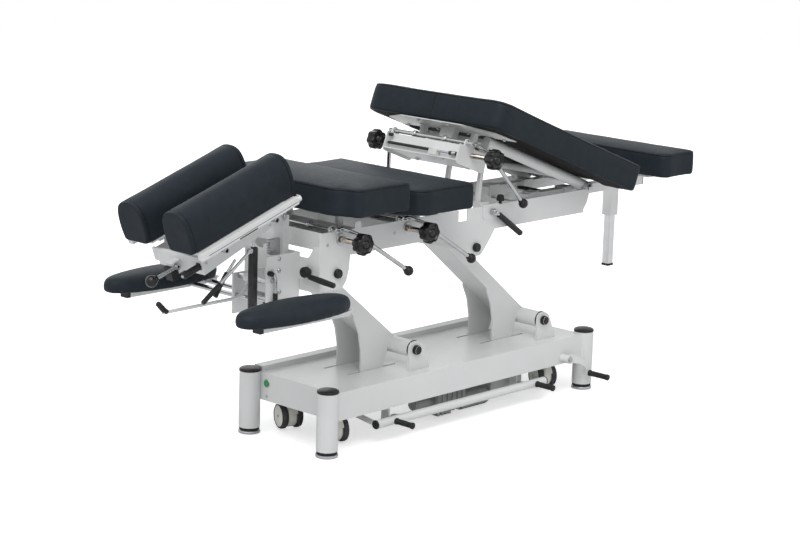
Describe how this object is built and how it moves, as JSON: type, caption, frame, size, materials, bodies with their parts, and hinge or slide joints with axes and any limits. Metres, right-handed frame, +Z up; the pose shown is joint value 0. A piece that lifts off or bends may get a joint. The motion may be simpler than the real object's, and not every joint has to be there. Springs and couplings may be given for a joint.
{
  "type": "chiropractic table",
  "caption": "Height-adjustable chiropractic treatment table with drop sections, a tilting pelvic section, a split tilting headpiece, armrests and a sliding foot cushion.",
  "frame": {"origin": "on the floor, below the middle of the whole table's box", "axes": "+X towards the foot end, +Y towards the far side, away from the pedals, +Z up"},
  "size_m": [2.0074, 0.672, 0.9354],
  "materials": {
    "white_powder_coat": "satin white powder coat",
    "chrome_plate": "polished",
    "zinc_plate": "zinc plated",
    "upholstery": "dark charcoal grained upholstery vinyl",
    "black_plastic": "moulded, semi-matte",
    "castor_plastic": "beige grey nylon",
    "grey_housing": "moulded grey motor housing",
    "black_rubber": "matte"
  },
  "bodies": {
    "base": {"base_frame": "white_powder_coat", "base_cover": "white_powder_coat", "levelling_foot_head_near": "zinc_plate", "levelling_foot_head_far": "zinc_plate", "levelling_foot_foot_near": "zinc_plate", "levelling_foot_foot_far": "zinc_plate", "lift_actuator": "grey_housing", "control_box": "black_plastic"},
    "castor_head_near": {"castor_fork_head_near": "castor_plastic"},
    "wheels_head_near": {"castor_wheels_head_near": "black_rubber"},
    "castor_head_far": {"castor_fork_head_far": "castor_plastic"},
    "wheels_head_far": {"castor_wheels_head_far": "black_rubber"},
    "castor_foot_near": {"castor_fork_foot_near": "castor_plastic"},
    "wheels_foot_near": {"castor_wheels_foot_near": "black_rubber"},
    "castor_foot_far": {"castor_fork_foot_far": "castor_plastic"},
    "wheels_foot_far": {"castor_wheels_foot_far": "black_rubber"},
    "foot_bar": {"foot_bar": "white_powder_coat"},
    "castor_pedal": {"castor_pedal": "white_powder_coat"},
    "head_arm": {"lift_arm_head": "white_powder_coat"},
    "foot_arm": {"lift_arm_foot": "white_powder_coat"},
    "top": {"top_frame": "white_powder_coat", "thoracic_tray": "white_powder_coat", "lumbar_tray": "white_powder_coat", "strut_clamp": "white_powder_coat", "buffer_near": "black_rubber", "buffer_far": "black_rubber", "head_guide": "white_powder_coat"},
    "thoracic_section": {"thoracic_plate": "zinc_plate", "thoracic_cushion": "upholstery"},
    "thoracic_knobs": {"thoracic_knob": "black_plastic"},
    "thoracic_lever": {"thoracic_lever": "chrome_plate"},
    "lumbar_section": {"lumbar_plate": "zinc_plate", "lumbar_cushion": "upholstery"},
    "lumbar_knobs": {"lumbar_knob": "black_plastic"},
    "lumbar_lever": {"lumbar_lever": "chrome_plate"},
    "pelvic_frame": {"pelvic_frame": "white_powder_coat", "pelvic_tray": "white_powder_coat"},
    "pelvic_section": {"pelvic_plate": "zinc_plate", "pelvic_cushion": "upholstery"},
    "pelvic_knobs": {"pelvic_knob": "black_plastic"},
    "pelvic_lever": {"pelvic_lever": "chrome_plate"},
    "clamp_handle": {"strut_clamp_handle": "chrome_plate"},
    "foot_section": {"foot_rails": "white_powder_coat", "foot_cushion": "upholstery"},
    "leg": {"support_leg": "chrome_plate"},
    "head_post": {"head_post": "white_powder_coat"},
    "head_tray": {"head_tray": "white_powder_coat"},
    "gas_spring": {"head_gas_spring": "black_plastic"},
    "head_half_near": {"head_rail_near": "white_powder_coat", "head_cushion_near": "upholstery"},
    "head_half_far": {"head_rail_far": "white_powder_coat", "head_cushion_far": "upholstery"},
    "ball_lever": {"head_drop_lever": "chrome_plate"},
    "release_lever": {"head_release_lever": "chrome_plate"},
    "height_lever": {"head_height_lever": "chrome_plate"},
    "lock_lever": {"head_lock_lever": "black_plastic"},
    "armrest_near": {"armrest_near": "white_powder_coat", "armrest_pad_near": "upholstery"},
    "armrest_far": {"armrest_far": "white_powder_coat", "armrest_pad_far": "upholstery"}
  },
  "joints": [
    {"name": "castor_head_near_swivel", "type": "hinge", "parent": "base", "child": "castor_head_near", "pos_m": [-0.39129, -0.093, 0.092], "axis": [0, 0, 1], "continuous": true},
    {"name": "castor_head_near_roll", "type": "hinge", "parent": "castor_head_near", "child": "wheels_head_near", "pos_m": [-0.38616, -0.07891, 0.041], "axis": [0.9397, -0.342, 0], "continuous": true},
    {"name": "castor_head_far_swivel", "type": "hinge", "parent": "base", "child": "castor_head_far", "pos_m": [-0.39129, 0.093, 0.092], "axis": [0, 0, 1], "continuous": true},
    {"name": "castor_head_far_roll", "type": "hinge", "parent": "castor_head_far", "child": "wheels_head_far", "pos_m": [-0.38616, 0.10709, 0.041], "axis": [0.9397, -0.342, 0], "continuous": true},
    {"name": "castor_foot_near_swivel", "type": "hinge", "parent": "base", "child": "castor_foot_near", "pos_m": [0.51871, -0.093, 0.092], "axis": [0, 0, 1], "continuous": true},
    {"name": "castor_foot_near_roll", "type": "hinge", "parent": "castor_foot_near", "child": "wheels_foot_near", "pos_m": [0.52384, -0.07891, 0.041], "axis": [0.9397, -0.342, 0], "continuous": true},
    {"name": "castor_foot_far_swivel", "type": "hinge", "parent": "base", "child": "castor_foot_far", "pos_m": [0.51871, 0.093, 0.092], "axis": [0, 0, 1], "continuous": true},
    {"name": "castor_foot_far_roll", "type": "hinge", "parent": "castor_foot_far", "child": "wheels_foot_far", "pos_m": [0.52384, 0.10709, 0.041], "axis": [0.9397, -0.342, 0], "continuous": true},
    {"name": "foot_bar_rock", "type": "hinge", "parent": "base", "child": "foot_bar", "pos_m": [0.06371, -0.135, 0.05], "axis": [1, 0, 0], "range_deg": [-6, 6], "stiffness_Nm_per_rad": 60},
    {"name": "castor_pedal_press", "type": "hinge", "parent": "base", "child": "castor_pedal", "pos_m": [0.49971, -0.18, 0.118], "axis": [0, 1, 0], "range_deg": [-15, 15]},
    {"name": "lift", "type": "hinge", "parent": "base", "child": "head_arm", "pos_m": [-0.12229, 0, 0.239], "axis": [0, 1, 0], "range_deg": [-32, 25]},
    {"name": "top_level", "type": "hinge", "parent": "head_arm", "child": "top", "pos_m": [-0.46029, 0, 0.511], "axis": [0, 1, 0], "range_deg": [-25, 32]},
    {"name": "foot_arm_swing", "type": "hinge", "parent": "base", "child": "foot_arm", "pos_m": [0.44371, 0, 0.239], "axis": [0, 1, 0], "range_deg": [-32, 25]},
    {"name": "thoracic_drop", "type": "slide", "parent": "top", "child": "thoracic_section", "axis": [0, 0, 1], "range_m": [-0.02, 0]},
    {"name": "thoracic_knob_turn", "type": "hinge", "parent": "top", "child": "thoracic_knobs", "pos_m": [-0.44829, 0, 0.604], "axis": [0, 1, 0], "continuous": true},
    {"name": "thoracic_lever_cock", "type": "hinge", "parent": "top", "child": "thoracic_lever", "pos_m": [-0.47829, 0, 0.634], "axis": [0, 1, 0], "range_deg": [-14, 0]},
    {"name": "lumbar_drop", "type": "slide", "parent": "top", "child": "lumbar_section", "axis": [0, 0, 1], "range_m": [0, 0.02]},
    {"name": "lumbar_knob_turn", "type": "hinge", "parent": "top", "child": "lumbar_knobs", "pos_m": [-0.18629, 0, 0.604], "axis": [0, 1, 0], "continuous": true},
    {"name": "lumbar_lever_cock", "type": "hinge", "parent": "top", "child": "lumbar_lever", "pos_m": [-0.21629, 0, 0.634], "axis": [0, 1, 0], "range_deg": [-14, 0]},
    {"name": "pelvic_tilt", "type": "hinge", "parent": "top", "child": "pelvic_frame", "pos_m": [0.62071, 0, 0.63], "axis": [0, 1, 0], "range_deg": [-17.5, 5]},
    {"name": "pelvic_drop", "type": "hinge", "parent": "pelvic_frame", "child": "pelvic_section", "pos_m": [0.64441, 0, 0.63586], "axis": [0, 1, 0], "range_deg": [-1, 0]},
    {"name": "pelvic_knob_turn", "type": "hinge", "parent": "pelvic_frame", "child": "pelvic_knobs", "pos_m": [0.07788, 0, 0.78158], "axis": [0, 1, 0], "continuous": true},
    {"name": "pelvic_lever_cock", "type": "hinge", "parent": "pelvic_frame", "child": "pelvic_lever", "pos_m": [0.0607, 0, 0.82037], "axis": [0, 1, 0], "range_deg": [-6, 0]},
    {"name": "strut_clamp_turn", "type": "hinge", "parent": "top", "child": "clamp_handle", "pos_m": [0.16671, -0.16, 0.61], "axis": [0, 1, 0], "range_deg": [-25, 0]},
    {"name": "foot_section_slide", "type": "slide", "parent": "top", "child": "foot_section", "axis": [1, 0, 0], "range_m": [-0.115, 0]},
    {"name": "leg_slide", "type": "slide", "parent": "foot_section", "child": "leg", "axis": [0, 0, 1], "range_m": [-0.1, 0]},
    {"name": "head_lift", "type": "slide", "parent": "top", "child": "head_post", "axis": [0, 0, 1], "range_m": [0, 0.06]},
    {"name": "head_tilt", "type": "hinge", "parent": "head_post", "child": "head_tray", "pos_m": [-0.57629, -0.03, 0.668], "axis": [0, 1, 0], "range_deg": [-12, 25]},
    {"name": "gas_spring_swing", "type": "hinge", "parent": "head_tray", "child": "gas_spring", "pos_m": [-0.67129, -0.042, 0.628], "axis": [0, 1, 0], "range_deg": [-25, 12]},
    {"name": "head_width_near", "type": "slide", "parent": "head_tray", "child": "head_half_near", "axis": [0, -1, 0], "range_m": [0, 0.02]},
    {"name": "head_width_far", "type": "slide", "parent": "head_tray", "child": "head_half_far", "axis": [0, 1, 0], "range_m": [0, 0.02]},
    {"name": "head_drop_cock", "type": "hinge", "parent": "head_tray", "child": "ball_lever", "pos_m": [-0.91563, -0.022, 0.56962], "axis": [0, 1, 0], "range_deg": [-12, 12]},
    {"name": "head_release", "type": "hinge", "parent": "head_tray", "child": "release_lever", "pos_m": [-0.71522, -0.078, 0.59487], "axis": [0, 1, 0], "range_deg": [-8, 8]},
    {"name": "head_height_release", "type": "hinge", "parent": "top", "child": "height_lever", "pos_m": [-0.62629, 0.024, 0.493], "axis": [0, 1, 0], "range_deg": [-6, 8]},
    {"name": "head_lock_turn", "type": "hinge", "parent": "top", "child": "lock_lever", "pos_m": [-0.54629, -0.112, 0.512], "axis": [1, 0, 0], "range_deg": [-35, 0]},
    {"name": "armrest_slide_near", "type": "slide", "parent": "top", "child": "armrest_near", "axis": [0, 1, 0], "range_m": [0, 0.03]},
    {"name": "armrest_slide_far", "type": "slide", "parent": "top", "child": "armrest_far", "axis": [0, -1, 0], "range_m": [0, 0.03]}
  ],
  "couplings": [
    {"joint": "top_level", "follows": "lift", "ratio": -1},
    {"joint": "foot_arm_swing", "follows": "lift", "ratio": 1},
    {"joint": "gas_spring_swing", "follows": "head_tilt", "ratio": -1}
  ]
}
